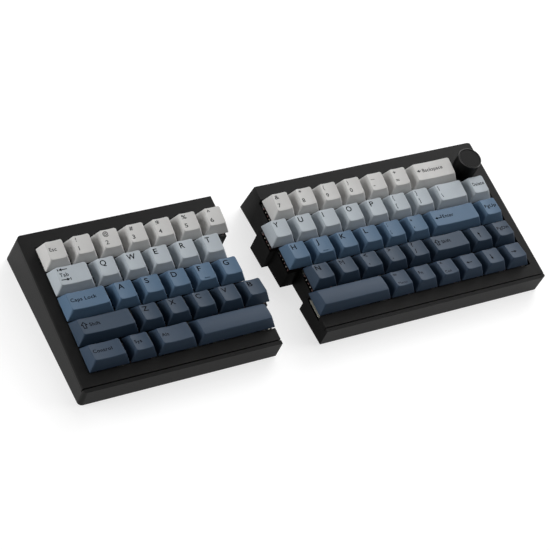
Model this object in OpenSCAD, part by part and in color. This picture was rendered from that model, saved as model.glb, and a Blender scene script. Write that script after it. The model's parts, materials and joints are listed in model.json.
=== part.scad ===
// Split keyboard: two stepped halves, sculpted keycaps on sliding stems, and a volume knob.
// Each half is drawn in its key plane: x to the right, y to the back, z square to the plane,
// with z = 0 at the skirts of the resting keycaps and x = y = 0 at the back left key cell.

/* [Layout] */
// Distance from one key to the next
pitch = 19.05; // [19:0.05:19.3]
// Free space between the halves, measured from their docked place
half_gap = 32.7; // [5:0.1:60]
// Slope of the key plane, rising to the back, in degrees
typing_angle = 6.3; // [5:0.1:7.5]
// How far a key goes down
key_travel = 4; // [3:0.1:4]

/* [Case] */
// From the left edge of the case to the first key cell
left_margin = 8.3; // [7.5:0.1:9]
// From the last key cell to the right edge of the case
right_margin = 8.6; // [7.5:0.1:10]
// From the front key cells to the front face
front_margin = 12.1; // [12:0.1:14]
// From the back key cells to the top of the back face
back_margin = 11.8; // [11.6:0.1:14]
// Height of the front face below the keycap skirts
front_height = 16.2; // [16:0.1:19]
// How far the back face leans out on its way down, in degrees
back_lean = 7.5; // [2:0.5:10]
// Radius of the outer upright corners
corner_radius = 3; // [1:0.5:4]
// Thickness of the outer walls and of the lip in front of the frame
wall = 2.7; // [2.4:0.1:2.8]
// Thickness of the bottom
floor_thickness = 1.8; // [1.5:0.1:2]
// Height of the rubber feet below the case
foot_height = 1; // [0.6:0.1:2]

/* [Top frame] */
// Thickness of the frame around the keys
frame_thickness = 3; // [2.5:0.1:3.5]
// Open line between the frame and the front lip of the case
seam = 0.7; // [0.3:0.1:0.8]
// Gap between the key cells and the frame
well_gap = 0.8; // [0.6:0.1:1]
// Radius of the corners of the opening for the keys
well_radius = 1.5; // [0.5:0.5:2]
// Chamfer along the outer side edges of the frame
edge_chamfer = 0.7; // [0.3:0.1:1]

/* [Keycaps] */
// Gap between neighbouring keycap skirts
cap_gap = 0.95; // [0.8:0.05:1.2]
// How far the top stands in from the skirt at the sides
cap_side_inset = 3.2; // [2.8:0.1:3.4]
// How far the top stands in from the skirt at the back
cap_back_inset = 1.95; // [1.8:0.05:2.2]
// How far the top stands in from the skirt at the front
cap_front_inset = 3.05; // [2.8:0.05:3.2]
// Thickness of the keycap walls
cap_wall = 1.5; // [1.3:0.1:1.6]
// Depth of the finger dish in the top
dish_depth = 0.7; // [0.4:0.1:0.8]

/* [Knob] */
// Diameter of the knob
knob_diameter = 17.2; // [16:0.1:17.6]
// Height of the knob
knob_height = 12.8; // [11:0.2:14]
// Height of the knob's foot above the keycap skirts
knob_lift = 1.4; // [1:0.1:2]

/* [Hidden] */
$fn = 96;
LEFT = 1;
RIGHT = -1;
SIDES = [LEFT, RIGHT];
far = 400;

// Where the halves part in each row from the back, in key units
row_split = [7, 6.5, 6.75, 7.25, 7];
rows = len(row_split);
columns = 16;

// Keys of each row as [node, width in key units]; like keys of one row share a node
function alike(name, count) = [for (i = [1:count]) [name, 1]];
function letters(text) = [for (i = [0:len(text) - 1]) [str(text[i], "_key"), 1]];
left_rows = [
    alike("left_number_keys", 7),
    concat([["tab_key", 1.5]], letters("qwert")),
    concat([["caps_lock_key", 1.75]], letters("asdfg")),
    concat([["left_shift_key", 2.25]], letters("zxcvb")),
    [["left_modifier_keys", 1.5], ["system_key", 1], ["left_modifier_keys", 1.5], ["left_space_key", 3]]
];
right_rows = [
    concat(alike("right_number_keys", 6), [["backspace_key", 2]]),
    concat(letters("yuiop"), alike("bracket_keys", 2), [["backslash_key", 1.5]], alike("bracket_keys", 1)),
    concat(letters("hjkl"), alike("quote_keys", 2), [["enter_key", 2.25]], alike("quote_keys", 1)),
    concat(letters("nm"), alike("stop_keys", 3), [["right_shift_key", 1.75]], alike("stop_keys", 2)),
    concat([["right_space_key", 3]], alike("arrow_row_keys", 6))
];
function start_of(row, i) = i == 0 ? 0 : start_of(row, i - 1) + row[i - 1][1];
function keys_of(side, table) = [
    for (r = [0:rows - 1])
        for (i = [0:len(table[r]) - 1])
            [side, r, table[r][i][0],
             (side == LEFT ? 0 : row_split[r]) + start_of(table[r], i) + table[r][i][1] / 2, table[r][i][1]]
];
keys = concat(keys_of(LEFT, left_rows), keys_of(RIGHT, right_rows));
function key_side(k) = k[0];
function key_row(k) = k[1];
function key_node(k) = k[2];
function key_width(k) = k[4];
function key_at(k) = [k[3] * pitch, -(k[1] + 0.5) * pitch, 0];
function is_space(k) = k[4] == 3;

// Long keys ride on two extra stems at this distance from their middle
function has_stabilizer(k) = k[4] >= 2;
function stabilizer_reach(k) = is_space(k) ? 19.05 : 11.94;

// Heights of the back and front edges of the keycap tops, row by row
top_back = [9.8, 8.3, 7.3, 6.4, 6.4];
top_front = [8.4, 7.8, 8.2, 9, 9];
cap_depth = pitch - cap_gap;
row_colours = ["#c4c3c0", "#a5adb7", "#6e8296", "#515e6e", "#56636f"];

// Levels, from the keycap skirts downwards
frame_top = -0.3;
frame_under = frame_top - frame_thickness;
split_wall_top = -4.6;
plate_top = -6.3;
plate_thickness = 1.5;
plate_under = plate_top - plate_thickness;
board_top = plate_top - 5;
board_thickness = 1.6;
screw_seat = -12.4;
well_floor = board_top + 0.6;

// Room around pieces that drop into one another, and under parts soldered to the board
room = 0.2;
solder = 0.05;

// Plan of the case
front_edge = -rows * pitch - front_margin;
back_edge = back_margin;
split_inset = 0.55;
split_wall = 1;
plate_inset = split_inset + split_wall + room;
skirt = 1.4;
front_seam_line = front_edge + wall;
back_wall_inside = back_edge - wall;
function outer_edge(side) = side == LEFT ? -left_margin : columns * pitch + right_margin;
function inward(side, distance) = outer_edge(side) + side * distance;

// Case bottom and the place of the key plane over the desk
function bottom_at(y) = -front_height - (y - front_edge) * tan(typing_angle);
back_foot = (back_edge + (front_height - front_edge * tan(typing_angle)) * tan(back_lean))
    / (1 - tan(typing_angle) * tan(back_lean));
x_middle = (outer_edge(LEFT) + outer_edge(RIGHT) + half_gap) / 2;
y_front = front_edge * cos(typing_angle) - frame_top * sin(typing_angle);
y_back = back_foot * cos(typing_angle) - bottom_at(back_foot) * sin(typing_angle);
y_middle = (y_front + y_back) / 2;
plane_lift = foot_height - front_edge * sin(typing_angle) + front_height * cos(typing_angle);

// Screws join bottom, plate and frame in front of and behind the keys
shank_radius = 1;
boss_radius = 3;
boss_offset = well_gap + skirt + boss_radius - 0.4;
screw_y = [-rows * pitch - boss_offset, boss_offset];
function screw_x(side) = side == LEFT ? [14, 68, 122] : [148, 224, 297];

// Sockets in the back wall: the lead to the computer on the left half, the link between the halves on both
function socket_x(side) = side == LEFT ? [42, 96] : [172];
socket_width = 8.9;
socket_height = 3.2;
socket_back = back_edge + 0.6;
socket_axis = board_top + socket_height / 2 + solder;
board_back = 1;
tongue_width = 22;

// Rubber feet, placed in x by the key plane and in y along the desk
foot_radius = 5;
foot_recess = 0.6;
function foot_x(side) = side == LEFT ? [5, 112] : [160, 306];
foot_y = [y_front + 14, y_back - 12];

knob_place = [(columns - 0.5) * pitch, -pitch / 2, 0];
shaft_radius = 3;
bushing_radius = 3.9;
shaft_top = knob_lift + 9;

static_nodes = ["bottom_case", "top_frame", "switch_plate", "circuit_board", "switches", "stabilizers",
    "feet", "screws"];
function side_name(side) = side == LEFT ? "left_" : "right_";
function first_use(i) = len([for (j = [0:i]) if (key_node(keys[j]) == key_node(keys[i])) j]) == 1;
key_nodes = [for (i = [0:len(keys) - 1]) if (first_use(i)) key_node(keys[i])];
half_nodes = [for (side = SIDES) for (name = static_nodes) str(side_name(side), name)];

// Stands a half's key plane over the desk; the right half takes its share of the gap
module over_desk(side) {
    translate([(side == RIGHT ? half_gap : 0) - x_middle, -y_middle, plane_lift])
        rotate([typing_angle, 0, 0])
            children();
}

// The stepped edge between the halves, from the back to the front, drawn in from the key cells by an inset
function reaches_past(side, r, other) = side * (row_split[r] - row_split[other]) > 0 ? 1 : -1;
function step_back(side, r, inset, back) = r == 0 ? back : -r * pitch - reaches_past(side, r, r - 1) * inset;
function step_front(side, r, inset, front) =
    r == rows - 1 ? front : -(r + 1) * pitch + reaches_past(side, r, r + 1) * inset;
function split_edge(side, inset, front, back) = [
    for (r = [0:rows - 1])
        for (y = [step_back(side, r, inset, back), step_front(side, r, inset, front)])
            [row_split[r] * pitch - side * inset, y]
];

module half_plan(side, inset, outer, front, back) {
    polygon(concat(split_edge(side, inset, front, back), [[outer, front], [outer, back]]));
}

// Plan of what lies between the outer walls, short of them by a gap
module inner_plan(side, inset, gap) {
    half_plan(side, inset, inward(side, wall + gap), front_seam_line + gap, back_wall_inside - gap);
}

// Box with round corners at its outer edge, running on past the split
module rounded_box(side, edge, front, back, radius) {
    low = min(edge, edge + side * far);
    high = low + far;
    translate([low + radius, front])
        square([high - low - 2 * radius, back - front]);
    translate([low, front + radius])
        square([high - low, back - front - 2 * radius]);
    for (x = [low + radius, high - radius])
        for (y = [front + radius, back - radius])
            translate([x, y])
                circle(radius);
}

// Everything above the case bottom raised by a thickness
module above_bottom(thickness) {
    translate([0, front_edge, -front_height])
        rotate([-typing_angle, 0, 0])
            translate([-far, -far, thickness])
                cube([3 * far, 2 * far, far]);
}

// Wedge that cuts the chamfer along a half's outer top edge
module edge_wedge(side) {
    over = 2;
    inner = edge_chamfer + over;
    translate([outer_edge(side), 0, frame_top])
        rotate([90, 0, 0])
            linear_extrude(far, center = true)
                polygon([[-over * side, -inner], [inner * side, over], [-over * side, over]]);
}

// Outer form of a half: upright front corners, leaning back corners, level bottom
module case_block(side) {
    difference() {
        intersection() {
            translate([0, 0, -far / 2])
                linear_extrude(far / 2 + frame_top)
                    intersection() {
                        half_plan(side, split_inset, outer_edge(side), front_edge, far / 4);
                        rounded_box(side, outer_edge(side), front_edge, far / 2, corner_radius);
                    }
            translate([0, back_edge, 0])
                rotate([back_lean, 0, 0])
                    translate([0, 0, -far / 2])
                        linear_extrude(far)
                            rounded_box(side, outer_edge(side), -far, 0, corner_radius);
            above_bottom(0);
        }
        edge_wedge(side);
    }
}

// Opening for the keys; on the right the back row ends short of the cell under the knob
module well_plan(side, grow) {
    gap = well_gap + grow;
    radius = well_radius + grow;
    front = -rows * pitch - gap;
    if (side == LEFT) {
        rounded_box(LEFT, -gap, front, gap, radius);
    } else {
        rounded_box(RIGHT, columns * pitch + gap, front, gap - pitch, radius);
        rounded_box(RIGHT, (columns - 1) * pitch + gap, front, gap, radius);
    }
}

module socket_plan(grow) {
    width = socket_width + 2 * grow;
    height = socket_height + 2 * grow;
    square([width - height, height], center = true);
    for (end = [-1, 1])
        translate([end * (width - height) / 2, 0])
            circle(height / 2);
}

module at_socket(x) {
    translate([x, socket_back, socket_axis])
        rotate([90, 0, 0])
            children();
}

module bottom_case(side) {
    cavity_inset = split_inset + split_wall;
    access_radius = 2.2;
    difference() {
        over_desk(side)
            difference() {
                union() {
                    difference() {
                        case_block(side);
                        intersection() {
                            translate([0, 0, -far / 2])
                                linear_extrude(far)
                                    inner_plan(side, cavity_inset, 0);
                            above_bottom(floor_thickness);
                        }
                        translate([-far, front_seam_line, frame_under])
                            cube([3 * far, far, far]);
                        translate([0, 0, split_wall_top])
                            linear_extrude(far)
                                well_plan(side, 0);
                    }
                    intersection() {
                        for (x = screw_x(side))
                            for (y = screw_y)
                                translate([x, y, -far / 2])
                                    cylinder(r = boss_radius, h = far / 2 + plate_under);
                        above_bottom(floor_thickness / 2);
                    }
                }
                for (x = screw_x(side))
                    for (y = screw_y) {
                        translate([x, y, -far / 2])
                            cylinder(r = access_radius, h = far / 2 + screw_seat);
                        translate([x, y, -far / 2])
                            cylinder(r = shank_radius + room, h = far);
                    }
                for (x = socket_x(side))
                    translate([0, wall * 2, 0])
                        at_socket(x)
                            linear_extrude(wall * 4)
                                socket_plan(2 * room);
            }
        feet_pattern(side)
            translate([0, 0, foot_height - 1])
                cylinder(r = foot_radius + room, h = foot_recess + 1);
    }
}

// Bezel that lies on the side and back walls, with a skirt and screw bosses down to the plate;
// on the right it has a hole for the bushing under the knob
module top_frame(side) {
    over_desk(side)
        difference() {
            union() {
                difference() {
                    intersection() {
                        case_block(side);
                        translate([-far, front_seam_line + seam, frame_under])
                            cube([3 * far, far, far]);
                    }
                    translate([0, 0, frame_under - 1])
                        linear_extrude(frame_thickness + 2)
                            well_plan(side, 0);
                }
                translate([0, 0, plate_top])
                    linear_extrude(frame_under - plate_top + frame_thickness / 2)
                        intersection() {
                            inner_plan(side, plate_inset, room);
                            difference() {
                                well_plan(side, skirt);
                                well_plan(side, 0);
                            }
                        }
                for (x = screw_x(side))
                    for (y = screw_y)
                        translate([x, y, plate_top])
                            cylinder(r = boss_radius, h = frame_under - plate_top + frame_thickness / 2);
            }
            for (x = screw_x(side))
                for (y = screw_y)
                    translate([x, y, plate_top - 1])
                        cylinder(r = shank_radius + 0.05, h = frame_top - plate_top);
            if (side == RIGHT)
                translate(knob_place + [0, 0, plate_top])
                    cylinder(r = bushing_radius + room, h = far);
        }
}

module cutouts(side) {
    cutout = 14;
    for (k = keys)
        if (key_side(k) == side)
            translate(key_at(k)) {
                square(cutout, center = true);
                if (has_stabilizer(k))
                    for (end = [-1, 1])
                        translate([end * stabilizer_reach(k), 0])
                            square([7, 13], center = true);
            }
    if (side == RIGHT)
        translate(knob_place)
            square(cutout, center = true);
}

module switch_plate(side) {
    over_desk(side)
        translate([0, 0, plate_under])
            linear_extrude(plate_thickness)
                difference() {
                    inner_plan(side, plate_inset, room);
                    cutouts(side);
                    for (x = screw_x(side))
                        for (y = screw_y)
                            translate([x, y])
                                circle(shank_radius + room);
                }
}

// Board with its sockets; the right one also carries the body and bushing of the knob's encoder
module circuit_board(side) {
    board_inset = plate_inset + 0.3;
    over_desk(side) {
        color("#1d3a2c")
            translate([0, 0, board_top - board_thickness])
                linear_extrude(board_thickness) {
                    half_plan(side, board_inset, inward(side, wall + 4), -rows * pitch + 0.6, board_back);
                    for (x = socket_x(side))
                        translate([x - tongue_width / 2, board_back - 1])
                            square([tongue_width, back_wall_inside - board_back + 0.5]);
                }
        for (x = socket_x(side))
            color("silver")
                at_socket(x)
                    socket();
        if (side == RIGHT)
            color("dimgray")
                translate(knob_place)
                    encoder();
    }
}

// Socket shell with the contact tongue at its back wall
module socket() {
    depth = 7.3;
    shell = 0.3;
    tongue = [6.6, 0.7];
    difference() {
        linear_extrude(depth)
            socket_plan(0);
        translate([0, 0, -1])
            linear_extrude(depth)
                difference() {
                    socket_plan(-shell);
                    square(tongue, center = true);
                }
    }
}

module encoder() {
    body = [12.4, 13.2, plate_top + 1.2 - board_top];
    bushing_top = 0.6;
    difference() {
        union() {
            translate([-body[0] / 2, -body[1] / 2, board_top + solder])
                cube(body);
            translate([0, 0, board_top + 1])
                cylinder(r = bushing_radius, h = bushing_top - board_top - 1);
        }
        translate([0, 0, plate_top])
            cylinder(r = shaft_radius + 0.3, h = far);
    }
}

// Four-sided block that tapers to its top
module tapered_block(width, depth, top_width, top_depth, height) {
    intersection() {
        rotate([90, 0, 0])
            linear_extrude(depth * 2, center = true)
                polygon([[-width / 2, 0], [width / 2, 0], [top_width / 2, height], [-top_width / 2, height]]);
        rotate([90, 0, 90])
            linear_extrude(width * 2, center = true)
                polygon([[-depth / 2, 0], [depth / 2, 0], [top_depth / 2, height], [-top_depth / 2, height]]);
    }
}

stem_width = 6.2;
stem_depth = 5.2;
stem_room = 0.5;
stem_foot = well_floor + 0.5 + key_travel;
stem_shoulder = 0.3;
cross_top = 4.2;

// Housing that clips into the plate and stands on the board, with a well for the sliding stem
module switch_housing() {
    through = 13.8;
    flange = 15.6;
    flange_height = 1;
    upper_height = 5.5;
    difference() {
        union() {
            translate([-through / 2, -through / 2, board_top])
                cube([through, through, plate_top - board_top + flange_height / 2]);
            translate([-flange / 2, -flange / 2, plate_top])
                cube([flange, flange, flange_height]);
            translate([0, 0, plate_top + flange_height])
                tapered_block(13.6, 13.6, 10.6, 9.6, upper_height);
        }
        translate([-stem_width / 2 - stem_room, -stem_depth / 2 - stem_room, well_floor])
            cube([stem_width + 2 * stem_room, stem_depth + 2 * stem_room, far]);
    }
}

module switches(side) {
    color("#2b2522")
        over_desk(side)
            for (k = keys)
                if (key_side(k) == side)
                    translate(key_at(k))
                        switch_housing();
}

side_stem_width = 3.4;
side_stem_depth = 4.6;
wire_radius = 0.75;
wire_y = -9;
wire_z = plate_top + 1;

module stabilizer_housing() {
    body = [6.6, 12.6];
    flange = [7.8, 14.2];
    flange_height = 0.8;
    height = 2.4;
    difference() {
        union() {
            translate([-body[0] / 2, -body[1] / 2, board_top])
                cube([body[0], body[1], plate_top - board_top + height]);
            translate([-flange[0] / 2, -flange[1] / 2, plate_top])
                cube([flange[0], flange[1], flange_height]);
        }
        translate([-side_stem_width / 2 - stem_room, -side_stem_depth / 2 - stem_room, well_floor])
            cube([side_stem_width + 2 * stem_room, side_stem_depth + 2 * stem_room, far]);
        translate([0, 0, wire_z])
            rotate([90, 0, 0])
                cylinder(r = wire_radius + 0.3, h = -wire_y);
    }
}

// Bent wire that ties the two ends of a long key together
module stabilizer_wire(reach) {
    arm = 4.5;
    translate([-reach, wire_y, wire_z])
        rotate([0, 90, 0])
            cylinder(r = wire_radius, h = 2 * reach);
    for (end = [-1, 1])
        translate([end * reach, wire_y, wire_z]) {
            sphere(wire_radius);
            rotate([-90, 0, 0])
                cylinder(r = wire_radius, h = arm);
        }
}

module stabilizers(side) {
    over_desk(side)
        for (k = keys)
            if (key_side(k) == side && has_stabilizer(k))
                translate(key_at(k)) {
                    color("#2b2522")
                        for (end = [-1, 1])
                            translate([end * stabilizer_reach(k), 0, 0])
                                stabilizer_housing();
                    color("silver")
                        stabilizer_wire(stabilizer_reach(k));
                }
}

module feet_pattern(side) {
    for (x = foot_x(side))
        for (y = foot_y)
            translate([x + (side == RIGHT ? half_gap : 0) - x_middle, y - y_middle, 0])
                children();
}

// Rubber discs with a softened lower edge, seated in the bottom
module feet(side) {
    soft = 0.3;
    height = foot_height + foot_recess;
    face_radius = foot_radius - soft;
    color("#1a1a1a")
        feet_pattern(side)
            rotate_extrude()
                polygon([[0, 0], [face_radius, 0], [foot_radius, soft], [foot_radius, height], [0, height]]);
}

module screws(side) {
    head_radius = 1.9;
    head_height = 1.6;
    drive_radius = 1;
    drive_depth = 0.9;
    color("#3c3c3e")
        over_desk(side)
            for (x = screw_x(side))
                for (y = screw_y)
                    translate([x, y, screw_seat])
                        difference() {
                            union() {
                                translate([0, 0, -head_height])
                                    cylinder(r = head_radius, h = head_height);
                                cylinder(r = shank_radius, h = plate_top + 2.6 - screw_seat);
                            }
                            translate([0, 0, -head_height - 1])
                                cylinder(r = drive_radius, h = drive_depth + 1, $fn = 6);
                        }
}

// Side profile of a keycap, drawn in by a shrink and lowered by a drop; its foot runs down to a level
module cap_profile(row, shrink, drop, foot) {
    half = cap_depth / 2 - shrink;
    polygon([[half, foot], [half, 0], [half - cap_back_inset, top_back[row] - drop],
        [-half + cap_front_inset, top_front[row] - drop], [-half, 0], [-half, foot]]);
}

module cap_front_view(width, row, shrink, foot) {
    half = width / 2 - shrink;
    mean_height = (top_back[row] + top_front[row]) / 2;
    grow = 1.5;
    polygon([[-half, foot], [-half, 0], [-half + cap_side_inset * grow, mean_height * grow],
        [half - cap_side_inset * grow, mean_height * grow], [half, 0], [half, foot]]);
}

module cap_block(width, row, shrink, drop, foot) {
    intersection() {
        rotate([90, 0, 90])
            linear_extrude(width, center = true)
                cap_profile(row, shrink, drop, foot);
        rotate([90, 0, 0])
            linear_extrude(cap_depth, center = true)
                cap_front_view(width, row, shrink, foot);
    }
}

// Moves to the middle of a keycap's top and tilts with it
module on_top(row) {
    back = cap_depth / 2 - cap_back_inset;
    front = -cap_depth / 2 + cap_front_inset;
    tilt = atan2(top_back[row] - top_front[row], back - front);
    translate([0, (back + front) / 2, (top_back[row] + top_front[row]) / 2])
        rotate([tilt, 0, 0])
            children();
}

// Finger dish along the depth of the key
module dish(width, row) {
    half = width / 2 - cap_side_inset;
    radius = half * half / (2 * dish_depth) + dish_depth / 2;
    on_top(row)
        translate([0, 0, radius - dish_depth])
            rotate([90, 0, 0])
                cylinder(r = radius, h = 2 * cap_depth, center = true, $fn = 192);
}

// Thumb key tops are crowned: a long cylinder trims their back and front
module crown(row) {
    radius = 26;
    on_top(row)
        translate([0, 0, -radius])
            rotate([0, 90, 0])
                cylinder(r = radius, h = far, center = true, $fn = 192);
}

// Raised bar that the forefingers feel for
function has_bar(k) = key_node(k) == "f_key" || key_node(k) == "j_key";
module homing_bar(row) {
    bar = [4, 0.8, 0.5];
    from_middle = 4.6;
    on_top(row)
        translate([-bar[0] / 2, -from_middle - bar[1] / 2, -dish_depth - bar[2]])
            cube([bar[0], bar[1], 2 * bar[2]]);
}

module cross(length, thickness, height) {
    for (turn = [0, 90])
        rotate([0, 0, turn])
            translate([-length / 2, -thickness / 2, 0])
                cube([length, thickness, height]);
}

function stem_places(k) = concat([0], has_stabilizer(k) ? [-stabilizer_reach(k), stabilizer_reach(k)] : []);

// Hollow keycap with a round post, socketed for the stem's cross, over each stem
module keycap(k) {
    row = key_row(k);
    width = key_width(k) * pitch - cap_gap;
    ceiling_drop = is_space(k) ? 2.4 : 1.9;
    post_radius = 2.8;
    post_foot = 0.5;
    post_top = (top_back[row] + top_front[row]) / 2 - ceiling_drop + 0.6;
    difference() {
        union() {
            difference() {
                intersection() {
                    cap_block(width, row, 0, 0, 0);
                    if (is_space(k))
                        crown(row);
                    else
                        translate([-far / 2, -far / 2, -far / 2])
                            cube(far);
                }
                if (!is_space(k))
                    dish(width, row);
                cap_block(width, row, cap_wall, ceiling_drop, -1);
            }
            for (x = stem_places(k))
                translate([x, 0, post_foot])
                    cylinder(r = post_radius, h = post_top - post_foot);
            if (has_bar(k))
                homing_bar(row);
        }
        for (x = stem_places(k))
            translate([x, 0, post_foot - 1])
                cross(4.2, 1.4, cross_top - post_foot + 1.2);
    }
}

// Sliding stem with the cross that carries the keycap
module stem(width, depth) {
    translate([-width / 2, -depth / 2, stem_foot])
        cube([width, depth, stem_shoulder - stem_foot]);
    translate([0, 0, stem_shoulder - 0.5])
        cross(4, 1.2, cross_top - stem_shoulder + 0.5);
}

module key(k) {
    over_desk(key_side(k))
        translate(key_at(k)) {
            color(row_colours[key_row(k)])
                keycap(k);
            color("#8c4a3c")
                for (x = stem_places(k))
                    translate([x, 0, 0])
                        stem(x == 0 ? stem_width : side_stem_width, x == 0 ? stem_depth : side_stem_depth);
        }
}

module key_group(name) {
    for (k = keys)
        if (key_node(k) == name)
            key(k);
}

// Turned knob with a rim around its top, and the encoder shaft that it is pressed on
module knob() {
    radius = knob_diameter / 2;
    top = knob_lift + knob_height;
    soft = 0.35;
    rim = 0.6;
    rim_depth = 0.3;
    bore_radius = shaft_radius + 0.05;
    over_desk(RIGHT)
        translate(knob_place) {
            color("#262626")
                rotate_extrude()
                    polygon([[bore_radius, knob_lift], [radius - soft, knob_lift], [radius, knob_lift + soft],
                        [radius, top - soft], [radius - soft, top], [radius - soft - rim, top],
                        [radius - soft - rim - rim_depth, top - rim_depth], [0, top - rim_depth],
                        [0, shaft_top + 0.2], [bore_radius, shaft_top + 0.2]]);
            color("silver")
                translate([0, 0, plate_top + 1])
                    cylinder(r = shaft_radius, h = shaft_top - plate_top - 1);
        }
}

module half_part(side, name) {
    if (name == "bottom_case") color("#2a2a2b") bottom_case(side);
    if (name == "top_frame") color("#2e2e2f") top_frame(side);
    if (name == "switch_plate") color("#8f8b82") switch_plate(side);
    if (name == "circuit_board") circuit_board(side);
    if (name == "switches") switches(side);
    if (name == "stabilizers") stabilizers(side);
    if (name == "feet") feet(side);
    if (name == "screws") screws(side);
}

for (side = SIDES)
    for (name = static_nodes)
        half_part(side, name);
for (name = key_nodes)
    key_group(name);
knob();
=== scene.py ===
import json
import math
from collections import namedtuple

import bmesh
import bpy
from mathutils import Matrix, Vector


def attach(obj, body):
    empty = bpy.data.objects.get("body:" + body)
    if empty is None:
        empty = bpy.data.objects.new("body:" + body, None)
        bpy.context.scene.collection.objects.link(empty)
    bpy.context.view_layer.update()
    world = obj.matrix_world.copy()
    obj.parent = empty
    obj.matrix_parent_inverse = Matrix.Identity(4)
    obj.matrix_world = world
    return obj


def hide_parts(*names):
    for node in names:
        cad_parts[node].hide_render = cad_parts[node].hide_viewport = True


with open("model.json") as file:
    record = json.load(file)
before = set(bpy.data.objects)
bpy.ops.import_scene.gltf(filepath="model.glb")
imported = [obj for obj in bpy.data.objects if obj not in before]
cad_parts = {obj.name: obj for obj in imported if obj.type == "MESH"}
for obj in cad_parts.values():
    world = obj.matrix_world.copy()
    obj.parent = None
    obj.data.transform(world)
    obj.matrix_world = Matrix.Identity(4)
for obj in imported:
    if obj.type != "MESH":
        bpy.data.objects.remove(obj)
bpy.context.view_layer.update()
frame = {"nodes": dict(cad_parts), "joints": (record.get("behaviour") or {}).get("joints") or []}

# Sizes are in millimetres. Each half is drawn in its key plane, as the solids are: x to the right,
# y to the back, z square to the plane, with z = 0 at the skirts of the resting keycaps.
MM = 0.001
PITCH = 19.05
ROW_UNITS = 16
ROW_SPLIT = (7, 6.5, 6.75, 7.25, 7)
KEYS_FRONT = -len(ROW_SPLIT) * PITCH
KNOB_CELL = Vector(((ROW_UNITS - 0.5) * PITCH, -0.5 * PITCH, 0))

# Keycaps
CAP_GAP = 0.95
CAP_DEPTH = PITCH - CAP_GAP
SIDE_INSET = 3.2
BACK_INSET = 1.95
FRONT_INSET = 3.05
CAP_WALL = 1.5
CEILING_DRAW = 0.7 * SIDE_INSET
TOP_BACK = (9.8, 8.3, 7.3, 6.4, 6.4)
TOP_FRONT = (8.4, 7.8, 8.2, 9, 9)
TOP_DEPTH = CAP_DEPTH - BACK_INSET - FRONT_INSET
DISH_DEPTH = 0.7
CROWN_RADIUS = 26
SKIRT_CORNER = 0.6
TOP_CORNER = 1.5
EDGE_ROUND = 0.45
SKIRT_CHAMFER = 0.15
CEILING = 1.3
POST_RADIUS = 2.8
POST_FOOT = 0.5
BAR_HALF = (2, 0.4)
BAR_FROM_MIDDLE = 4.6
BAR_HEIGHT = 0.45
BAR_STEPS = ((0, -1), (0, 0.6), (0.12, 0.9), (0.25, 1))

# Stems
STEM = (6.2, 5.2)
SIDE_STEM = (3.4, 4.6)
STEM_FOOT = -6.2
STEM_SHOULDER = 0.3
CROSS = (4, 1.2)
CROSS_TOP = 4.2
STEM_CHAMFER = 0.25
STEM_CORNER = 0.3
SPACE_UNITS = 3
STABILIZED_UNITS = 2
STABILIZER_REACH = 11.94

# Latches on the sides of the switch housings: places along the side, and length, height and thickness
FLANGE_SIDE = 7.8
FLANGE_TOP = -5.3
ROSE_LATCHES = (5.2, -0.8, -6.2)
ROSE_LATCH = (1.3, 1, 0.9)
CREAM_LATCHES = (2.2, -3.6)
CREAM_LATCH = (0.9, 1.1, 0.8)

# Gasket strips on the plates, beside the split under the inner ends of the space keys
GASKET_INSET = 1.9
GASKET_WIDTH = 1.7
GASKET_FRONT = 1.5
GASKET_LENGTH = 14
GASKET_FOOT = -6.35
GASKET_TOP = -4.5

# Edges of the frame's opening: near the keycaps at the front and the left, farther off at the right
WELL_GAP = 0.8
WELL_CLEARANCE = 0.35
WELL_RIGHT_GAP = 1.8

# Softening of the case edges, and the painted shade of the split walls, whose colour and gloss are
# painted darker up to one distance behind the middle of the keyboard and left whole from another
CASE_EDGE = 0.3
FRAME_EDGE = 0.25
LOWEST_SOFT_EDGE = -5
SPLIT_SHADED_SHARE = 0.4
FULL_SHADE_TO = 46
UNSHADED_FROM = 59

# Knob
KNOB_RADIUS = 8.6
KNOB_FOOT = 1.4
KNOB_TOP = 14.2
KNOB_EDGE = 0.35
KNOB_BULGE = 0.3 * KNOB_EDGE
KNOB_RIM = 0.6
KNOB_RECESS = 0.3
KNOB_SIDES = 96
SHAFT_RADIUS = 3
SHAFT_SLACK = 0.2
SHAFT_CHAMFER = 0.4
SHAFT_SIDES = 48
SHAFT_FOOT = -5.3
SHAFT_TOP = 10.4

# Legends: heights of capitals, and places from the left edge and the middle of a top
LETTER_HEIGHT = 3.9
PAIR_HEIGHTS = (2.9, 2.9, 3.7, 3.9, 2.9)
WORD_HEIGHT = 2.65
LOW_WORD_HEIGHT = 2.1
TEXT_SPREAD = 0.016
TEXT_SPACING = 1.1
TEXT_STRETCH = {
    "Delete": 0.87, "PgUp": 1.12, "PgDn": 1.12,
    **dict.fromkeys("HNVZ", 1.08),
    **dict.fromkeys("ADRU", 1.1),
    **dict.fromkeys("GK", 1.12),
    **dict.fromkeys("FJLP12347890^*", 1.2),
    **dict.fromkeys("BES", 1.25),
    **dict.fromkeys("%&+?", 1.3),
    **dict.fromkeys("56=", 1.4),
    **dict.fromkeys("$-_", 1.5),
}
LETTER_MARGIN = 1.65
PAIR_MARGINS = (1.65, 1.65, 1.4, 2.2, 1.65)
WORD_MARGIN = 1.3
LETTER_BASE = 1.1
SYMBOL_BASE = 2.4
DIGIT_BASE = -3.9
QUOTE_DROP = 2.5
WORD_BASE = -0.7
LOW_WORD_BASE = -4.8
SHIFT_WORD = 5.4
BACKSPACE_ARROW = 3.4
BACKSPACE_WORD = 4.7
ENTER_WORD = 6.9
ARROW_FROM_EDGE = 4.4
ARROW_LEVEL = -0.6
ARROW_REACH = 2.5
ARROW_HEAD = 2.2
INK_STROKE = 0.62
INK_ABOVE = 0.03
INK_BELOW = 0.06
INK_STEP = 0.9
INK_WELD = 0.001

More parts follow.
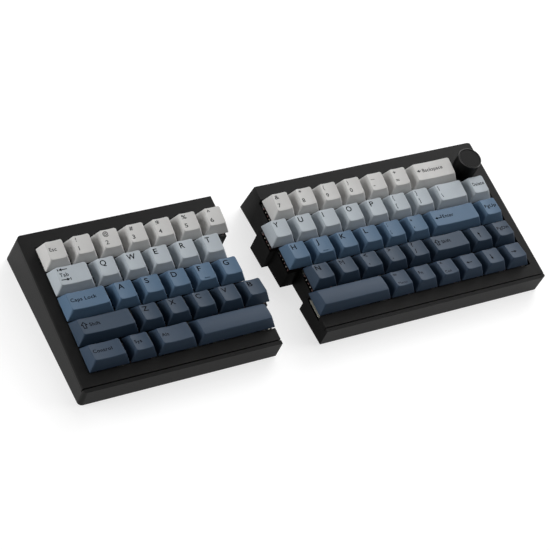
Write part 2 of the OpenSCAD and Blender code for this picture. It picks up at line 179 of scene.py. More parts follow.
# Photograph: camera place and axes in the left key plane, and its focal length in the 550 pixel frame
FRAME_PIXELS = 550
FOCAL_PIXELS = 1877.3
SENSOR = 36
CAMERA_AT = Vector((-419.36, -563.89, 981.85))
CAMERA_RIGHT = Vector((0.86553, -0.40668, 0.29235))
CAMERA_DOWN = Vector((-0.20221, -0.81775, -0.53888))
CAMERA_FORWARD = Vector((0.45822, 0.40731, -0.79002))

# Soft lamps: turn from the right hand side and height over the desk in degrees, size in metres
# and power in watts
LAMP_DISTANCE = 1.6
LAMPS = (
    ("left_light", 178, 15, 0.9, 16),
    ("left_back_light", 150, 24, 0.9, 5.6),
    ("right_front_light", 340, 24, 0.9, 10.9),
    ("right_back_light", 40, 28, 0.9, 11.9),
    ("back_light", 42, 50, 2.0, 20.6),
)

Key = namedtuple("Key", "half node row middle units legend")


def letters(text):
    return [(letter.lower() + "_key", 1, letter) for letter in text]


def alike(node, *legends):
    return [(node, 1, legend) for legend in legends]


LEFT_ROWS = (
    alike("left_number_keys", "Esc", "! 1", "@ 2", "# 3", "$ 4", "% 5", "^ 6"),
    [("tab_key", 1.5, "Tab"), *letters("QWERT")],
    [("caps_lock_key", 1.75, "Caps Lock"), *letters("ASDFG")],
    [("left_shift_key", 2.25, "Shift"), *letters("ZXCVB")],
    [("left_modifier_keys", 1.5, "Control"), ("system_key", 1, "Sys"),
     ("left_modifier_keys", 1.5, "Alt"), ("left_space_key", SPACE_UNITS, "")],
)
RIGHT_ROWS = (
    [*alike("right_number_keys", "& 7", "* 8", "( 9", ") 0", "_ -", "+ ="),
     ("backspace_key", 2, "Backspace")],
    [*letters("YUIOP"), *alike("bracket_keys", "{ [", "} ]"), ("backslash_key", 1.5, "| \\"),
     *alike("bracket_keys", "Delete")],
    [*letters("HJKL"), *alike("quote_keys", ": ;", "\" '"), ("enter_key", 2.25, "Enter"),
     *alike("quote_keys", "PgUp")],
    [*letters("NM"), *alike("stop_keys", "< ,", "> .", "? /"), ("right_shift_key", 1.75, "Shift"),
     *alike("stop_keys", "up", "PgDn")],
    [("right_space_key", SPACE_UNITS, ""),
     *alike("arrow_row_keys", "= Menu", "Fn", "^ Ctrl", "left", "down", "right")],
)


def keys_of(half, table, starts):
    """The keys of a half, with their middles in key units from the left edge of the keyboard."""
    found = []
    for row, (cells, start) in enumerate(zip(table, starts)):
        for node, units, legend in cells:
            found.append(Key(half, node, row, start + units / 2, units, legend))
            start += units
    return found


LEFT_KEYS = keys_of("left_half", LEFT_ROWS, (0,) * len(LEFT_ROWS))
RIGHT_KEYS = keys_of("right_half", RIGHT_ROWS, ROW_SPLIT)
KEYS = LEFT_KEYS + RIGHT_KEYS

# Places of the two key planes, from the joints of the solids
JOINTS = {joint["name"]: joint for joint in frame["joints"]}
PRESS_AXIS = Vector(JOINTS["tab_key_press"]["axis"])
TILT = Matrix.Rotation(math.atan2(PRESS_AXIS.y, -PRESS_AXIS.z), 4, "X")
HALF_GAP = Vector((-JOINTS["right_half_slide"]["range_m"][0], 0, 0))
PLANE_ORIGIN = Vector(JOINTS["knob_turn"]["pos_m"]) - TILT @ (KNOB_CELL * MM) - HALF_GAP
LEFT_PLACE = Matrix.Translation(PLANE_ORIGIN) @ TILT @ Matrix.Scale(MM, 4)
PLACES = {"left_half": LEFT_PLACE, "right_half": Matrix.Translation(HALF_GAP) @ LEFT_PLACE}


def key_place(key):
    return PLACES[key.half] @ Matrix.Translation((key.middle * PITCH, -(key.row + 0.5) * PITCH, 0))


def cap_width(key):
    return key.units * PITCH - CAP_GAP


# Materials
def node_material(name, roughness, **sockets):
    """A Principled material whose constant sockets are set; returns it with its tree and shader."""
    material = bpy.data.materials.new(name)
    material.use_nodes = True
    tree = material.node_tree
    shader = tree.nodes["Principled BSDF"]
    shader.inputs["Roughness"].default_value = roughness
    for socket, value in sockets.items():
        shader.inputs[socket.replace("_", " ")].default_value = value
    return material, tree, shader


def noise(tree, size, detail=3.0):
    """Noise over the object's own coordinates, with features of a size in millimetres."""
    place = tree.nodes.new("ShaderNodeTexCoord")
    texture = tree.nodes.new("ShaderNodeTexNoise")
    texture.inputs["Scale"].default_value = 1 / (size * MM)
    texture.inputs["Detail"].default_value = detail
    tree.links.new(place.outputs["Object"], texture.inputs["Vector"])
    return texture.outputs["Fac"]


def math_node(tree, operation, first, second):
    """Joins an output with another output or a number; returns the result."""
    node = tree.nodes.new("ShaderNodeMath")
    node.operation = operation
    for place, value in enumerate((first, second)):
        if isinstance(value, bpy.types.NodeSocket):
            tree.links.new(value, node.inputs[place])
        else:
            node.inputs[place].default_value = value
    return node.outputs[0]


def ramp(tree, value, low, high, start=0.3, end=0.7):
    """Maps a value between start and end to a number or a colour between low and high."""
    if isinstance(low, tuple):
        node = tree.nodes.new("ShaderNodeValToRGB")
        for stop, place, colour in zip(node.color_ramp.elements, (start, end), (low, high)):
            stop.position = place
            stop.color = (*colour, 1)
        tree.links.new(value, node.inputs["Fac"])
        return node.outputs["Color"]
    node = tree.nodes.new("ShaderNodeMapRange")
    for socket, number in zip(("From Min", "From Max", "To Min", "To Max"), (start, end, low, high)):
        node.inputs[socket].default_value = number
    tree.links.new(value, node.inputs["Value"])
    return node.outputs["Result"]


def shade(colour, factor):
    return tuple(channel * factor for channel in colour)


def grained(name, colour, roughness, grain=0.3, depth=0.02, spread=0.08, gloss_spread=0.06, **sockets):
    """Moulded surface: fine grain in colour, gloss and relief, and a slow drift of tone."""
    drift = 12
    relief = 0.5
    material, tree, shader = node_material(name, roughness, **sockets)
    fine = noise(tree, grain)
    slow = noise(tree, drift)
    mixed = math_node(tree, "MULTIPLY", math_node(tree, "ADD", fine, slow), 0.5)
    tone = ramp(tree, mixed, shade(colour, 1 - spread), shade(colour, 1 + spread))
    tree.links.new(tone, shader.inputs["Base Color"])
    gloss = ramp(tree, fine, roughness - gloss_spread, roughness + gloss_spread)
    tree.links.new(gloss, shader.inputs["Roughness"])
    bump = tree.nodes.new("ShaderNodeBump")
    bump.inputs["Strength"].default_value = relief
    bump.inputs["Distance"].default_value = depth * MM
    tree.links.new(fine, bump.inputs["Height"])
    tree.links.new(bump.outputs["Normal"], shader.inputs["Normal"])
    return material


def painted_shade_black(name, colour, roughness, specular):
    """Black of the split walls with painted shade: colour and gloss are painted darker from the back to
    the front.
    """
    material = grained(name, colour, roughness, **CASE_GRAIN)
    tree = material.node_tree
    shader = tree.nodes["Principled BSDF"]
    place = tree.nodes.new("ShaderNodeTexCoord")
    split = tree.nodes.new("ShaderNodeSeparateXYZ")
    tree.links.new(place.outputs["Object"], split.inputs["Vector"])
    # Painted shade: the share of colour and gloss that is kept, lower towards the front
    share = ramp(tree, split.outputs["Y"], SPLIT_SHADED_SHARE, 1, start=FULL_SHADE_TO * MM, end=UNSHADED_FROM * MM)
    shaded_shine = math_node(tree, "MULTIPLY", share, specular)
    tree.links.new(shaded_shine, shader.inputs["Specular IOR Level"])
    shaded_colour = tree.nodes.new("ShaderNodeVectorMath")
    shaded_colour.operation = "SCALE"
    tree.links.new(shader.inputs["Base Color"].links[0].from_socket, shaded_colour.inputs[0])
    tree.links.new(share, shaded_colour.inputs["Scale"])
    tree.links.new(shaded_colour.outputs["Vector"], shader.inputs["Base Color"])
    return material


CAP_GRAIN = dict(grain=0.22, depth=0.02, spread=0.06, Specular_IOR_Level=0.29)
INK_GRAIN = dict(grain=0.15, depth=0.005, spread=0.2, Specular_IOR_Level=0.02)
CASE_GRAIN = dict(grain=0.28, depth=0.02, spread=0.15)
CASE_COLOUR = (0.006, 0.0059, 0.0058)
CAP_COLOURS = (
    (0.52, 0.515, 0.505),
    (0.365, 0.402, 0.433),
    (0.064, 0.117, 0.187),
    (0.017, 0.035, 0.062),
    (0.018, 0.037, 0.067),
)
CAP_MATERIALS = [
    grained(f"keycap_row_{row + 1}", colour, 0.6, **CAP_GRAIN) for row, colour in enumerate(CAP_COLOURS)
]
NUMBER_INK = grained("number_ink", (0.05, 0.05, 0.052), 0.7, **INK_GRAIN)
INK = grained("legend_ink", (0.004, 0.004, 0.005), 0.7, **INK_GRAIN)
CASE_BLACK = grained("case_black", CASE_COLOUR, 0.42, Specular_IOR_Level=0.07, **CASE_GRAIN)
FRAME_BLACK = grained("frame_black", CASE_COLOUR, 0.5, Specular_IOR_Level=0.085, **CASE_GRAIN)
# Black of the split walls with painted shade that darkens its colour and gloss towards the front
SPLIT_SHADED_BLACK = painted_shade_black("split_black_painted_shade", CASE_COLOUR, 0.5, specular=0.07)
KNOB_BLACK = grained("knob_black", (0.0036, 0.0036, 0.0036), 0.4, grain=0.2, depth=0.01, spread=0.15,
                     Specular_IOR_Level=0.055)
KNOB_BRIGHT = grained("knob_bright", (0.06, 0.06, 0.06), 0.34, grain=0.2, depth=0.005, spread=0.15,
                      Metallic=1.0)
SHAFT_STEEL = grained("shaft_steel", (0.55, 0.55, 0.54), 0.3, grain=0.4, depth=0.005, Metallic=1.0)
PLATE_GREY = grained("plate_grey", (0.11, 0.105, 0.09), 0.5, grain=0.3, depth=0.01)
BOARD_GREEN = grained("board_green", (0.004, 0.009, 0.006), 0.35, grain=0.8, depth=0.03, spread=0.3)
HOUSING_DARK = grained("housing_dark", (0.012, 0.007, 0.007), 0.35, grain=0.4, depth=0.01)
LATCH_ROSE = grained("latch_rose", (0.24, 0.13, 0.12), 0.45, grain=0.3, depth=0.01)
LATCH_CREAM = grained("latch_cream", (0.75, 0.7, 0.62), 0.4, grain=0.3, depth=0.01)
GASKET_PALE = grained("gasket_pale", (0.5, 0.49, 0.42), 0.7, grain=0.4, depth=0.04, spread=0.1)
STEM_CREAM = grained("stem_cream", (0.55, 0.5, 0.44), 0.4, grain=0.3, depth=0.01)
RUBBER = grained("foot_rubber", (0.02, 0.02, 0.02), 0.75, grain=0.35, depth=0.04, spread=0.2)
SCREW_STEEL = grained("screw_steel", (0.12, 0.12, 0.12), 0.35, grain=0.25, depth=0.005, Metallic=1.0)


# Mesh building
def loft(bm, rings):
    """Skins rings of points, each with the same count, and closes both ends."""
    loops = [[bm.verts.new(point) for point in ring] for ring in rings]
    for low, high in zip(loops, loops[1:]):
        for i in range(len(low)):
            j = (i + 1) % len(low)
            bm.faces.new((low[i], low[j], high[j], high[i]))
    bm.faces.new(reversed(loops[0]))
    bm.faces.new(loops[-1])


def between(start, end, share):
    return tuple(a + (b - a) * share for a, b in zip(start, end))


def rounded_loop(half, front, back, radius, across=1, along=1, corner_steps=5):
    """Points round a rectangle with round corners, anticlockwise from its front right corner."""
    corners = (
        (half, front, 1, -1, 270),
        (half, back, 1, 1, 0),
        (-half, back, -1, 1, 90),
        (-half, front, -1, -1, 180),
    )
    arcs = []
    for x, y, right, up, start in corners:
        turns = [math.radians(start + 90 * step / corner_steps) for step in range(corner_steps + 1)]
        middle_x = x - right * radius
        middle_y = y - up * radius
        arcs.append([(middle_x + radius * math.cos(t), middle_y + radius * math.sin(t)) for t in turns])
    points = []
    for i, cuts in enumerate((along, across, along, across)):
        start, end = arcs[i][-1], arcs[(i + 1) % 4][0]
        points += arcs[i] + [between(start, end, step / cuts) for step in range(1, cuts)]
    return points


def circle(radius, height, count=32):
    turns = [2 * math.pi * i / count for i in range(count)]
    return [Vector((radius * math.cos(t), radius * math.sin(t), height)) for t in turns]


def new_piece(name, bm, place, body, material, smooth_angle=35):
    """Turns a mesh drawn in millimetres into a piece in place, riding on a body."""
    bmesh.ops.transform(bm, matrix=place, verts=bm.verts)
    mesh = bpy.data.meshes.new(name)
    bm.to_mesh(mesh)
    bm.free()
    mesh.shade_smooth()
    mesh.set_sharp_from_angle(angle=math.radians(smooth_angle))
    mesh.materials.append(material)
    piece = bpy.data.objects.new(name, mesh)
    bpy.context.scene.collection.objects.link(piece)
    piece.modifiers.new("even_normals", "WEIGHTED_NORMAL").keep_sharp = True
    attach(piece, body)
    return piece


# Keycaps
def top_surface(key):
    """The function that places a point of a keycap's top: x across, v to the back, lift above it."""
    rise = TOP_BACK[key.row] - TOP_FRONT[key.row]
    slope = math.atan2(rise, TOP_DEPTH)
    height_of_middle = (TOP_BACK[key.row] + TOP_FRONT[key.row]) / 2
    middle = Vector((0, (FRONT_INSET - BACK_INSET) / 2, height_of_middle))
    half = cap_width(key) / 2 - SIDE_INSET
    dish_radius = half * half / (2 * DISH_DEPTH) + DISH_DEPTH / 2

    def point(x, v, lift=0.0):
        if key.units == SPACE_UNITS:
            height = math.sqrt(CROWN_RADIUS**2 - v * v) - CROWN_RADIUS + lift
        else:
            height = dish_radius - DISH_DEPTH - math.sqrt(dish_radius**2 - x * x) + lift
        along = v * math.cos(slope) - height * math.sin(slope)
        up = v * math.sin(slope) + height * math.cos(slope)
        return middle + Vector((x, along, up))

    return point


def stem_places(key):
    if key.units < STABILIZED_UNITS:
        return (0,)
    reach = PITCH if key.units == SPACE_UNITS else STABILIZER_REACH
    return (0, -reach, reach)


def cap_mesh(key):
    """Hollow keycap: skirt, drawn-in walls, rounded rim and dished or crowned top, with its posts."""
    top = top_surface(key)
    half = cap_width(key) / 2
    along = 10
    across = max(along, round(half))
    fillet_steps = 4
    top_rings = 7
    ceiling = min(TOP_BACK[key.row], TOP_FRONT[key.row]) - DISH_DEPTH - CEILING

    def outline(shrink, radius):
        reach = CAP_DEPTH / 2 - shrink
        return rounded_loop(half - shrink, -reach, reach, radius, across, along)

    def top_outline(shrink):
        reach = TOP_DEPTH / 2 - shrink
        corner = TOP_CORNER - shrink
        return rounded_loop(half - SIDE_INSET - shrink, -reach, reach, corner, across, along)

    def level(points, z):
        return [Vector((x, y, z)) for x, y in points]

    skirt = level(outline(0, SKIRT_CORNER), SKIRT_CHAMFER)
    rim = [top(x, v) for x, v in top_outline(0)]
    shoulder = [edge + (foot - edge).normalized() * EDGE_ROUND for edge, foot in zip(rim, skirt)]
    inside = [top(x, v) for x, v in top_outline(EDGE_ROUND)]
    rings = [
        level(outline(CAP_WALL + CEILING_DRAW, SKIRT_CORNER / 2), ceiling),
        level(outline(CAP_WALL, SKIRT_CORNER / 2), 0),
        level(outline(SKIRT_CHAMFER, SKIRT_CORNER - SKIRT_CHAMFER), 0),
        skirt,
        shoulder,
    ]
    for step in range(1, fillet_steps):
        share = step / fillet_steps
        rings.append([
            a * (1 - share) ** 2 + b * (2 * share * (1 - share)) + c * share**2
            for a, b, c in zip(shoulder, rim, inside)
        ])
    rings.append(inside)
    for ring in range(1, top_rings):
        size = 1 - ring / top_rings
        rings.append([top(x * size, v * size) for x, v in top_outline(EDGE_ROUND)])
    bm = bmesh.new()
    loft(bm, rings)
    for x in stem_places(key):
        post = [circle(POST_RADIUS, POST_FOOT), circle(POST_RADIUS, ceiling + CEILING / 2)]
        loft(bm, [[point + Vector((x, 0, 0)) for point in ring] for ring in post])
    if key.legend in ("F", "J"):
        loft(bm, homing_bar_rings(top))
    return bm


def homing_bar_rings(top):
    """Raised bar near the front of a top; each of its steps has a shrink and a share of the height."""
    rings = []
    for shrink, lift in BAR_STEPS:
        half, reach = (size - shrink for size in BAR_HALF)
        front, back = -reach - BAR_FROM_MIDDLE, reach - BAR_FROM_MIDDLE
        loop = rounded_loop(half, front, back, reach * 0.9, across=6)
        rings.append([top(x, v, BAR_HEIGHT * lift) for x, v in loop])
    return rings


def block(bm, x, y, width, depth, corner, levels):
    """Upright block about a place, with round corners; each level shrinks it at a height."""
    rings = []
    for shrink, z in levels:
        reach = depth / 2 - shrink
        loop = rounded_loop(width / 2 - shrink, -reach, reach, corner, corner_steps=3)
        rings.append([Vector((x + px, y + py, z)) for px, py in loop])
    loft(bm, rings)


def stem_mesh(key):
    """Sliding stem with the cross that carries the keycap, and the side stems of a long key."""
    stem_levels = (
        (STEM_CHAMFER, STEM_FOOT),
        (0, STEM_FOOT + STEM_CHAMFER),
        (0, STEM_SHOULDER - STEM_CHAMFER),
        (STEM_CHAMFER, STEM_SHOULDER),
    )
    arm_levels = (
        (0, STEM_SHOULDER - STEM_CHAMFER),
        (0, CROSS_TOP - STEM_CHAMFER),
        (STEM_CHAMFER, CROSS_TOP),
    )
    bm = bmesh.new()
    for x in stem_places(key):
        stem = SIDE_STEM if x else STEM
        blocks = ((*stem, stem_levels), (*CROSS, arm_levels), (*reversed(CROSS), arm_levels))
        for wide, deep, levels in blocks:
            block(bm, x, 0, wide, deep, STEM_CORNER, levels)
    return bm


def latch_mesh(places, size):
    """Small rounded latches that stand on the flange of a switch, alike on its two sides."""
    length, height, thickness = size
    soft = 0.25
    levels = ((0, FLANGE_TOP - soft), (0, FLANGE_TOP + height - soft), (soft, FLANGE_TOP + height))
    bm = bmesh.new()
    for side in (-1, 1):
        middle = side * (FLANGE_SIDE - thickness / 2)
        for y in places:
            block(bm, middle, y, thickness, length, soft, levels)
    return bm


# Legends
def measured_text(text):
    """Flat mesh of a text at size 1, in the built-in typeface with its strokes spread.

    The strokes of an M cross when they are spread, so a text with one keeps its own weight.
    """
    curve = bpy.data.curves.new("legend_text", "FONT")
    curve.body = text
    curve.offset = 0 if "M" in text else TEXT_SPREAD
    curve.space_character = TEXT_SPACING
    holder = bpy.data.objects.new("legend_text", curve)
    bpy.context.scene.collection.objects.link(holder)
    evaluated = holder.evaluated_get(bpy.context.evaluated_depsgraph_get())
    mesh = bpy.data.meshes.new_from_object(evaluated)
    bpy.data.objects.remove(holder)
    bpy.data.curves.remove(curve)
    return mesh


def height_of_capitals():
    mesh = measured_text("H")
    height = max(vertex.co.y for vertex in mesh.vertices)
    bpy.data.meshes.remove(mesh)
    return height


CAPITAL = height_of_capitals()


def write(bm, text, x, base, height):
    """Writes a text on a base line from x, or about the middle of the top if it is too wide for that."""
    mesh = measured_text(text)
    left = min(vertex.co.x for vertex in mesh.vertices)
    right = max(vertex.co.x for vertex in mesh.vertices)
    size = height / CAPITAL
    stretch = TEXT_STRETCH.get(text, 1)
    start = min(x, (left - right) * size * stretch / 2)
    sized = Matrix.Diagonal((size * stretch, size, 1, 1))
    mesh.transform(Matrix.Translation((start, base, 0)) @ sized @ Matrix.Translation((-left, 0, 0)))
    bm.from_mesh(mesh)
    bpy.data.meshes.remove(mesh)


def stroke(bm, points, closed=False):
    """Draws a line of even width through points, with mitred bends."""
    sharpest_mitre = 0.4
    count = len(points)
    points = [Vector(point) for point in points]
    sides = []
    for i, point in enumerate(points):
        before = points[i - 1] if i or closed else None
        after = points[(i + 1) % count] if i < count - 1 or closed else None
        come = (point - before).normalized() if before else (after - point).normalized()
        go = (after - point).normalized() if after else come
        normal = Vector((-come.y - go.y, come.x + go.x)).normalized()
        reach = INK_STROKE / 2 / max(sharpest_mitre, normal.dot(Vector((-go.y, go.x))))
        sides.append([bm.verts.new((*(point + normal * reach * way), 0)) for way in (-1, 1)])
    for a, b in zip(sides, sides[1:] + (sides[:1] if closed else [])):
        bm.faces.new((a[0], b[0], b[1], a[1]))


def arrow(bm, tail, tip):
    """Line with a solid head at its tip."""
    tail, tip = Vector(tail), Vector(tip)
    way = (tip - tail).normalized()
    wing = Vector((-way.y, way.x)) * ARROW_HEAD / 2
    neck = tip - way * ARROW_HEAD
    stroke(bm, (tail, neck))
    corners = (neck - wing, tip, neck + wing)
    bm.faces.new([bm.verts.new((*corner, 0)) for corner in corners])


def shift_sign(bm, x, y):
    """Outlined arrow that points to the back."""
    half, barb, foot, neck, tip = 1.9, 0.9, -2.4, 0.3, 2.6
    outline = (
        (half, neck), (0, tip), (-half, neck),
        (-barb, neck), (-barb, foot), (barb, foot), (barb, neck),
    )
    stroke(bm, [(x + half + px, y + py) for px, py in outline], closed=True)


def tab_sign(bm, x):
    """Two arrows that run against bars, over and under the word."""
    length, bar, gap, over, under = 6.6, 0.9, 0.5, 4.5, -2.9
    arrow(bm, (x + length, over), (x + gap, over))
    stroke(bm, ((x, over - bar), (x, over + bar)))
    arrow(bm, (x, under), (x + length - gap, under))
    stroke(bm, ((x + length, under - bar), (x + length, under + bar)))


def enter_sign(bm, x, y):
    """Arrow that comes down from the back and turns to the left."""
    width, rise, drop = 5.6, 1.6, 0.8
    stroke(bm, ((x + width, y + rise), (x + width, y - drop), (x + ARROW_HEAD, y - drop)))
    arrow(bm, (x + width / 2, y - drop), (x, y - drop))


def word(bm, text, x):
    write(bm, text, x, WORD_BASE, WORD_HEIGHT)


ARROWS = {"up": (0, 1), "down": (0, -1), "left": (-1, 0), "right": (1, 0)}


def draw_legend(bm, key):
    """Draws a key's legend flat, about the middle of its top."""
    edge = SIDE_INSET - cap_width(key) / 2
    left = edge + WORD_MARGIN
    level = WORD_BASE + WORD_HEIGHT / 2
    text = key.legend
    upper, _, lower = text.partition(" ")
    if text in ARROWS:
        way = Vector(ARROWS[text]) * ARROW_REACH
        middle = Vector((edge + ARROW_FROM_EDGE, ARROW_LEVEL))
        arrow(bm, middle - way, middle + way)
    elif text == "Tab":
        tab_sign(bm, left)
        word(bm, text, left)
    elif text == "Shift":
        shift_sign(bm, left, level)
        word(bm, text, left + SHIFT_WORD)
    elif text == "Backspace":
        arrow(bm, (left + BACKSPACE_ARROW, level), (left, level))
        word(bm, text, left + BACKSPACE_WORD)
    elif text == "Enter":
        enter_sign(bm, left, level)
        word(bm, text, left + ENTER_WORD)
    elif len(text) == 1:
        write(bm, text, edge + LETTER_MARGIN, LETTER_BASE, LETTER_HEIGHT)
    elif len(upper) == 1:
        height = PAIR_HEIGHTS[key.row]
        x = edge + PAIR_MARGINS[key.row]
        drop = QUOTE_DROP if lower == "'" else 0
        write(bm, upper, x, SYMBOL_BASE - drop, height)
        if len(lower) == 1:
            write(bm, lower, x, DIGIT_BASE - drop, height)
        else:
            write(bm, lower, x, LOW_WORD_BASE, LOW_WORD_HEIGHT)
    else:
        word(bm, text, left)


def legend_mesh(key):
    """A key's legend as a thin closed layer that follows the top."""
    bm = bmesh.new()
    draw_legend(bm, key)
    bmesh.ops.remove_doubles(bm, verts=bm.verts, dist=INK_WELD)
    half = cap_width(key) / 2
    cuts = [-half + INK_STEP * i for i in range(int(2 * half / INK_STEP))]
    for x in cuts:
        everything = [*bm.verts, *bm.edges, *bm.faces]
        bmesh.ops.bisect_plane(bm, geom=everything, plane_co=(x, 0, 0), plane_no=(1, 0, 0))
    made = bmesh.ops.extrude_face_region(bm, geom=bm.faces[:], use_keep_orig=True)
    lower = {item for item in made["geom"] if isinstance(item, bmesh.types.BMVert)}
    top = top_surface(key)
    for vertex in bm.verts:
        vertex.co = top(vertex.co.x, vertex.co.y, -INK_BELOW if vertex in lower else INK_ABOVE)
    bmesh.ops.recalc_face_normals(bm, faces=bm.faces)
    return bm


def joined(meshes):
    """One mesh of several, each first moved to its key's place."""
    whole = bmesh.new()
    for key, bm in meshes:
        bmesh.ops.transform(bm, matrix=key_place(key), verts=bm.verts)
        part = bpy.data.meshes.new("part")
        bm.to_mesh(part)
        bm.free()
        whole.from_mesh(part)
        bpy.data.meshes.remove(part)
    return whole


def make_keys():
    """A piece per keycap, and per node its stems and its legends."""
    stood_for = set()
    for number, key in enumerate(KEYS):
        name = f"cap_{number + 1:02d}_{key.node}"
        cap = new_piece(name, cap_mesh(key), key_place(key), key.node, CAP_MATERIALS[key.row])
        if key.node not in stood_for:
            stood_for.add(key.node)
            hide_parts(key.node)
    for node in sorted(stood_for):
        group = [key for key in KEYS if key.node == node]
        stems = joined([(key, stem_mesh(key)) for key in group])
        new_piece(f"stems_{node}", stems, Matrix.Identity(4), node, STEM_CREAM)
        lettered = [(key, legend_mesh(key)) for key in group if key.legend]
        if lettered:
            ink = INK if group[0].row else NUMBER_INK
            new_piece(f"legend_{node}", joined(lettered), Matrix.Identity(4), node, ink)


def make_latches():
    """Latches of all the switches, one piece per half and colour."""
    kinds = (("rose_latches", ROSE_LATCHES, ROSE_LATCH, LATCH_ROSE),
             ("cream_latches", CREAM_LATCHES, CREAM_LATCH, LATCH_CREAM))
    for half in PLACES:
        for name, places, size, material in kinds:
            latches = joined([(key, latch_mesh(places, size)) for key in KEYS if key.half == half])
            new_piece(f"{half}_{name}", latches, Matrix.Identity(4), half, material)


def make_gaskets():
    """Foam strip with soft edges on each plate, where the end of the space key leaves it in view."""
    soft = 0.3
    levels = ((0, GASKET_FOOT), (0, GASKET_TOP - soft), (soft, GASKET_TOP))
    y = KEYS_FRONT + GASKET_FRONT + GASKET_LENGTH / 2
    for half, way in (("left_half", -1), ("right_half", 1)):
        x = ROW_SPLIT[-1] * PITCH + way * (GASKET_INSET + GASKET_WIDTH / 2)
        bm = bmesh.new()
        block(bm, x, y, GASKET_WIDTH, GASKET_LENGTH, soft, levels)
        new_piece(f"{half}_gasket", bm, PLACES[half], half, GASKET_PALE)


# Knob
def make_knob():
    """Turned knob with a fine chamfer, a raised rim and a recessed face, on the encoder's shaft."""
    place = PLACES["right_half"] @ Matrix.Translation(KNOB_CELL)
    recess_radius = KNOB_RADIUS - KNOB_EDGE - KNOB_RIM
    profile = (
        (SHAFT_RADIUS + SHAFT_SLACK, KNOB_FOOT),
        (KNOB_RADIUS - KNOB_EDGE, KNOB_FOOT),
        (KNOB_RADIUS, KNOB_FOOT + KNOB_EDGE),
        (KNOB_RADIUS, KNOB_TOP - KNOB_EDGE),
        (KNOB_RADIUS - KNOB_BULGE, KNOB_TOP - KNOB_BULGE),
        (KNOB_RADIUS - KNOB_EDGE, KNOB_TOP),
        (recess_radius, KNOB_TOP),
        (recess_radius - KNOB_RECESS, KNOB_TOP - KNOB_RECESS),
        (recess_radius / 2, KNOB_TOP - KNOB_RECESS),
    )
    bm = bmesh.new()
    loft(bm, [circle(radius, height, KNOB_SIDES) for radius, height in profile])
    for face in bm.faces:
        middle = face.calc_center_median()
        if middle.xy.length > KNOB_RADIUS - KNOB_EDGE and middle.z > KNOB_TOP - KNOB_EDGE:
            face.material_index = 1
    knob = new_piece("knob_grip", bm, place, "knob", KNOB_BLACK, smooth_angle=20)
    knob.data.materials.append(KNOB_BRIGHT)
    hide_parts("knob")
    shaft_profile = (
        (SHAFT_RADIUS - SHAFT_CHAMFER, SHAFT_FOOT),
        (SHAFT_RADIUS, SHAFT_FOOT + SHAFT_CHAMFER),
        (SHAFT_RADIUS, SHAFT_TOP - SHAFT_CHAMFER),
        (SHAFT_RADIUS - SHAFT_CHAMFER, SHAFT_TOP),
    )
    bm = bmesh.new()
    loft(bm, [circle(radius, height, SHAFT_SIDES) for radius, height in shaft_profile])
    new_piece("knob_shaft", bm, place, "knob", SHAFT_STEEL)


# Case
def fit_opening(bm):
    """Brings the front and left edges of a frame's opening near the keycaps, and its right edge off."""
    inset = CAP_GAP / 2 - WELL_CLEARANCE
    right = ROW_UNITS * PITCH
    slack = 0.05
    for vertex in bm.verts:
        if abs(vertex.co.x - right - WELL_GAP) < slack:
            vertex.co.x = right + WELL_RIGHT_GAP
        if -WELL_GAP - slack < vertex.co.x < inset:
            vertex.co.x = inset
        if -WELL_GAP - slack < vertex.co.y - KEYS_FRONT < inset:
            vertex.co.y = KEYS_FRONT + inset


def softened(node, half, material, slot, edge):
    """Copy of a case shell with softened visible edges and painted shade on its split walls, in place of
    its node.
    """
    weld = 0.002
    flat_angle, sharp_angle = math.radians(1), math.radians(25)
    facing = 0.9
    last_step = KEYS_FRONT + PITCH / 2
    split_side = 1 if half == "left_half" else -1
    bm = bmesh.new()
    bm.from_mesh(frame["nodes"][node].data)
    to_plane = PLACES[half].inverted()
    bmesh.ops.transform(bm, matrix=to_plane, verts=bm.verts)
    if slot == "case_frame":
        fit_opening(bm)
    bmesh.ops.remove_doubles(bm, verts=bm.verts, dist=weld)
    bmesh.ops.dissolve_limit(bm, angle_limit=flat_angle, verts=bm.verts, edges=bm.edges)
    sharp = [
        rim for rim in bm.edges
        if len(rim.link_faces) == 2 and rim.calc_face_angle() > sharp_angle
        and min(vertex.co.z for vertex in rim.verts) > LOWEST_SOFT_EDGE
    ]
    bmesh.ops.bevel(
        bm, geom=sharp, offset=edge, segments=3, profile=0.5, affect="EDGES", clamp_overlap=True
    )
    bm.normal_update()
    # The split walls and the front faces of the steps beside the split take the black with painted shade
    for face in bm.faces:
        wall = face.normal.x * split_side > facing
        step = face.normal.y < -facing and face.calc_center_median().y > last_step
        if wall or step:
            face.material_index = 1
    piece = new_piece(node + "_shell", bm, PLACES[half], half, material)
    piece.data.materials.append(SPLIT_SHADED_BLACK)
    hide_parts(node)


def dress(node, material):
    """Gives a node of the solids its finish."""
    mesh = frame["nodes"][node].data
    mesh.materials.clear()
    mesh.materials.append(material)


def make_case():
    """Shells of both halves, and the finishes of what is under them."""
    finishes = {
        "switch_plate": PLATE_GREY,
        "circuit_board": BOARD_GREEN,
        "switches": HOUSING_DARK,
        "stabilizers": HOUSING_DARK,
        "feet": RUBBER,
        "screws": SCREW_STEEL,
    }
    for half in PLACES:
        side = half.split("_")[0]
        softened(side + "_bottom_case", half, CASE_BLACK, "case_shell", CASE_EDGE)
        softened(side + "_top_frame", half, FRAME_BLACK, "case_frame", FRAME_EDGE)
        for part, material in finishes.items():
            dress(f"{side}_{part}", material)


# Stage, light and camera
def seen_directly(tree):
    """1 for rays of the eye and of mirror or clear surfaces, 0 for those that light a matt surface."""
    rays = tree.nodes.new("ShaderNodeLightPath").outputs
    mirrored = math_node(tree, "MAXIMUM", rays["Is Glossy Ray"], rays["Is Transmission Ray"])
    return math_node(tree, "MAXIMUM", rays["Is Camera Ray"], mirrored)


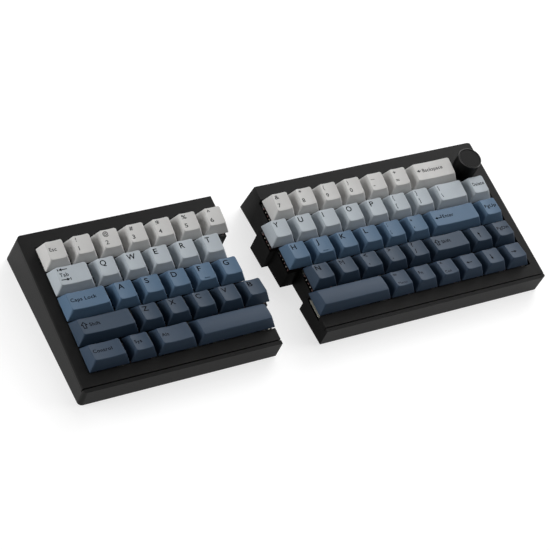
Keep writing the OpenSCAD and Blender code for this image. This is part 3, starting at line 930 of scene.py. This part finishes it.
def make_floor():
    """Wide white floor that shows white to the eye and in reflections, and keeps the shadow."""
    size = 8
    near, far = 0.6, 2.0
    near_glow, far_glow = 0.7, 1.0
    albedo = 0.38
    roughness = 0.9
    bm = bmesh.new()
    bmesh.ops.create_grid(bm, x_segments=1, y_segments=1, size=size)
    mesh = bpy.data.meshes.new("floor")
    bm.to_mesh(mesh)
    bm.free()
    floor = bpy.data.objects.new("floor", mesh)
    bpy.context.scene.collection.objects.link(floor)
    material, tree, shader = node_material("floor_white", roughness)
    shader.inputs["Base Color"].default_value = (albedo, albedo, albedo, 1)
    shader.inputs["Specular IOR Level"].default_value = 0
    shader.inputs["Emission Color"].default_value = (1, 1, 1, 1)
    place = tree.nodes.new("ShaderNodeTexCoord")
    reach = tree.nodes.new("ShaderNodeVectorMath")
    reach.operation = "LENGTH"
    tree.links.new(place.outputs["Object"], reach.inputs[0])
    lift = ramp(tree, reach.outputs["Value"], near_glow, far_glow, start=near, end=far)
    glow = math_node(tree, "MULTIPLY", seen_directly(tree), lift)
    tree.links.new(glow, shader.inputs["Emission Strength"])
    mesh.materials.append(material)


def make_world():
    """White backdrop up to a low height, as far as it is seen, under a dark ceiling."""
    white_to, dark_from = 0.17, 0.26
    world = bpy.data.worlds.new("bay")
    world.use_nodes = True
    bpy.context.scene.world = world
    tree = world.node_tree
    place = tree.nodes.new("ShaderNodeTexCoord")
    split = tree.nodes.new("ShaderNodeSeparateXYZ")
    tree.links.new(place.outputs["Generated"], split.inputs["Vector"])
    backdrop = ramp(tree, split.outputs["Z"], 1.0, 0.0, start=white_to, end=dark_from)
    glow = math_node(tree, "MULTIPLY", backdrop, seen_directly(tree))
    tree.links.new(glow, tree.nodes["Background"].inputs["Strength"])
    tree.nodes["Background"].inputs["Color"].default_value = (1, 1, 1, 1)


def make_lights():
    """Soft round lamps on a dome about the keyboard, aimed at its middle."""
    for name, turn, height, size, power in LAMPS:
        turn, height = math.radians(turn), math.radians(height)
        level = math.cos(height)
        way = Vector((level * math.cos(turn), level * math.sin(turn), math.sin(height)))
        lamp = bpy.data.lights.new(name, "AREA")
        lamp.shape = "DISK"
        lamp.size = size
        lamp.energy = power
        holder = bpy.data.objects.new(name, lamp)
        holder.location = way * LAMP_DISTANCE
        holder.rotation_mode = "QUATERNION"
        holder.rotation_quaternion = way.to_track_quat("Z", "Y")
        bpy.context.scene.collection.objects.link(holder)


def make_camera():
    """Camera of the photograph, set by its place and axes in the left key plane."""
    lens = bpy.data.cameras.new("camera")
    lens.sensor_width = SENSOR
    lens.lens = FOCAL_PIXELS / FRAME_PIXELS * SENSOR
    lens.clip_start = 0.01
    lens.clip_end = 100
    camera = bpy.data.objects.new("camera", lens)
    axes = Matrix((CAMERA_RIGHT, -CAMERA_DOWN, -CAMERA_FORWARD)).transposed().to_4x4()
    camera.matrix_world = Matrix.Translation(LEFT_PLACE @ CAMERA_AT) @ TILT @ axes
    bpy.context.scene.collection.objects.link(camera)
    bpy.context.scene.camera = camera


make_camera()
make_case()
make_keys()
make_latches()
make_gaskets()
make_knob()
make_floor()
make_world()
make_lights()
bpy.context.scene.view_settings.view_transform = "Standard"
